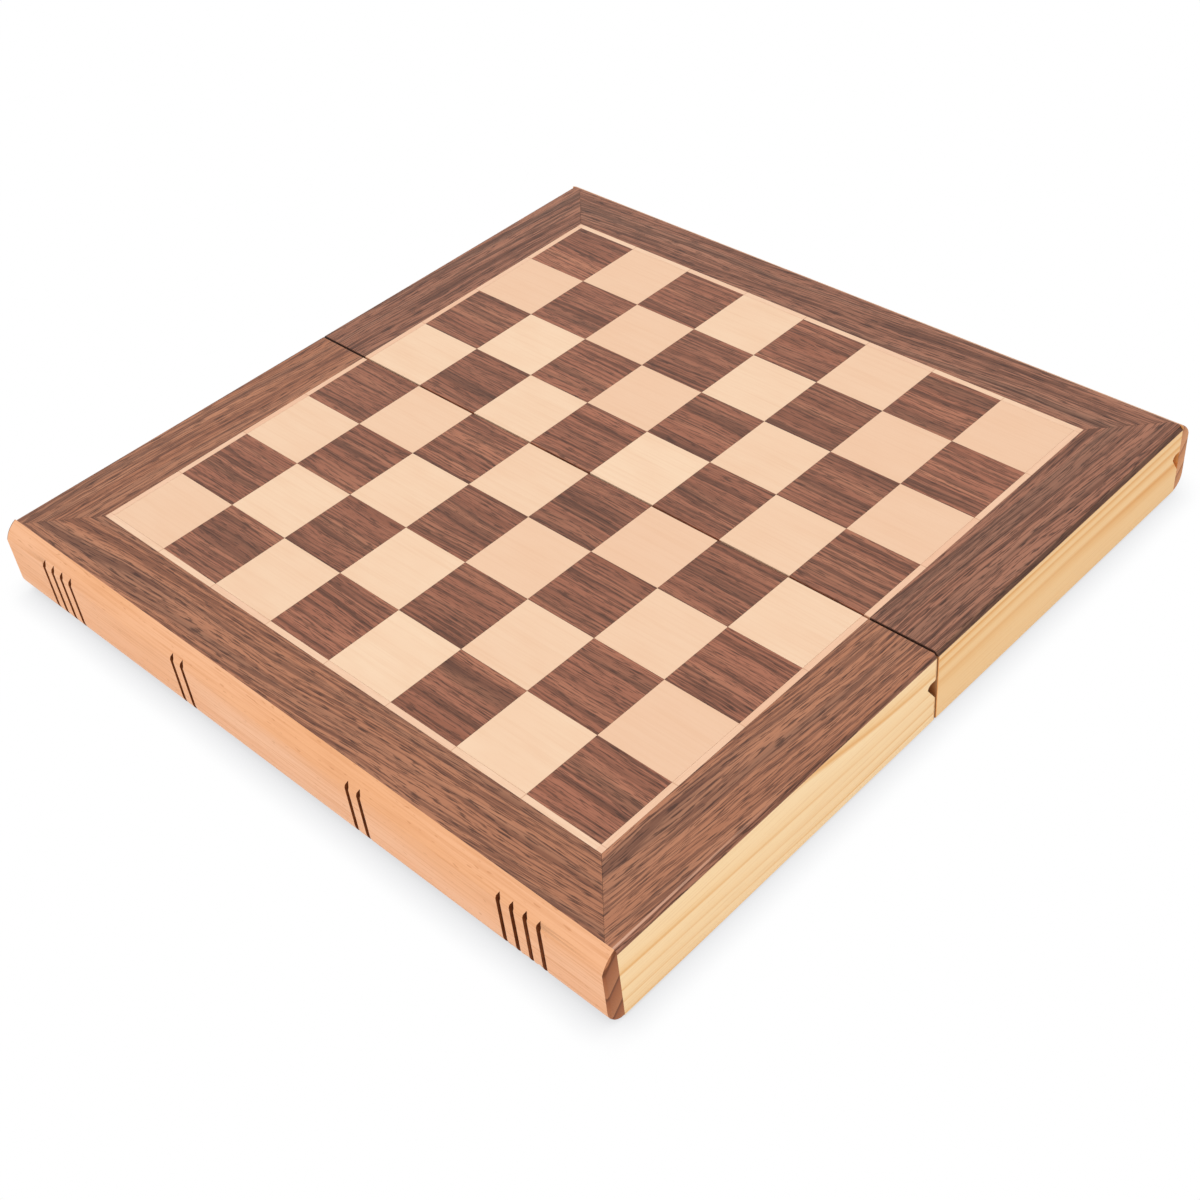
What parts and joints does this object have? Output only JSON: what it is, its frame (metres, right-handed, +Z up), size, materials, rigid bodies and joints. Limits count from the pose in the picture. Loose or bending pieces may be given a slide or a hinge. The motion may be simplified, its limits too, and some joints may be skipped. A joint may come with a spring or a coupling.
{
  "type": "folding chess board",
  "caption": "Folding wooden chess board in the style of a book: hinged pine trays with an inlaid walnut and maple playing surface, rounded spine strips and felt-lined storage inside.",
  "frame": {"origin": "on the table under the centre of the open board, below the middle of the fold", "axes": "+X along the fold to the right, +Y from the near half to the far half, +Z up out of the playing surface"},
  "size_m": [0.376, 0.38, 0.038],
  "materials": {
    "pine": "satin lacquer",
    "alder": "satin lacquer",
    "walnut": "satin lacquer",
    "dark_walnut": "satin lacquer",
    "maple": "satin lacquer",
    "birch_plywood": "sanded",
    "green_felt": "napped",
    "brass": "bright",
    "steel": "bright",
    "nickel": "nickel plated",
    "rubber": "matt"
  },
  "bodies": {
    "near_half": {"near_deck_panel": "birch_plywood", "near_felt_lining": "green_felt", "near_left_wall": "pine", "near_right_wall": "pine", "near_fold_wall": "pine", "near_spine_wall": "pine", "near_spine_strip": "alder", "near_left_border": "walnut", "near_right_border": "walnut", "near_end_border": "walnut", "near_left_stringing": "maple", "near_right_stringing": "maple", "near_end_stringing": "maple", "near_light_squares": "maple", "near_dark_squares": "dark_walnut", "near_magnets": "nickel", "near_bumpers": "rubber", "near_left_hinge_leaf": "brass", "near_right_hinge_leaf": "brass", "near_hinge_screws": "brass", "left_hinge_pin": "steel", "right_hinge_pin": "steel"},
    "far_half": {"far_deck_panel": "birch_plywood", "far_felt_lining": "green_felt", "far_left_wall": "pine", "far_right_wall": "pine", "far_fold_wall": "pine", "far_spine_wall": "pine", "far_spine_strip": "alder", "far_left_border": "walnut", "far_right_border": "walnut", "far_end_border": "walnut", "far_left_stringing": "maple", "far_right_stringing": "maple", "far_end_stringing": "maple", "far_light_squares": "maple", "far_dark_squares": "dark_walnut", "far_magnets": "nickel", "far_bumpers": "rubber", "far_left_hinge_leaf": "brass", "far_right_hinge_leaf": "brass", "far_hinge_screws": "brass"}
  },
  "joints": [
    {"name": "fold", "type": "hinge", "parent": "near_half", "child": "far_half", "pos_m": [0, 0, 0.0013], "axis": [-1, 0, 0], "range_deg": [0, 179.5]}
  ]
}
